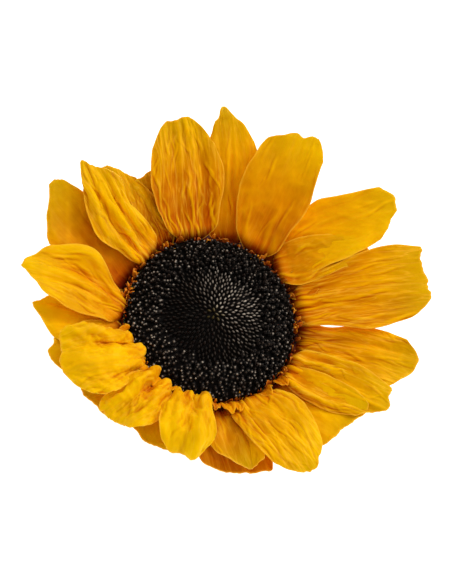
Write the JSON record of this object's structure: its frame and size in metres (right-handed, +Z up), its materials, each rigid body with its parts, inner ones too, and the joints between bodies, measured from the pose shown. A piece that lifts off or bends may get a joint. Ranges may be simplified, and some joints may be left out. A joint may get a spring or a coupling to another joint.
{
  "type": "cut sunflower head",
  "caption": "Cut sunflower head lying face up: a domed dark disc of florets, layered wavy yellow ray petals, and a green receptacle with pointed bracts ending in a flat cut.",
  "frame": {"origin": "centre of the flat cut under the head, on the surface that it lies on", "axes": "+Z up through the middle of the disc; +Y towards the side that is farthest from the viewer; +X to the right"},
  "size_m": [0.1293, 0.1191, 0.0452],
  "materials": {
    "green": "matt leafy green with fine hairs",
    "yellow": "soft thin petal, golden yellow, amber at the root",
    "dark": "matt black brown with small pale glints on the florets"
  },
  "bodies": {
    "root": {"calyx": "green", "petals": "yellow", "disc": "dark"}
  },
  "joints": []
}
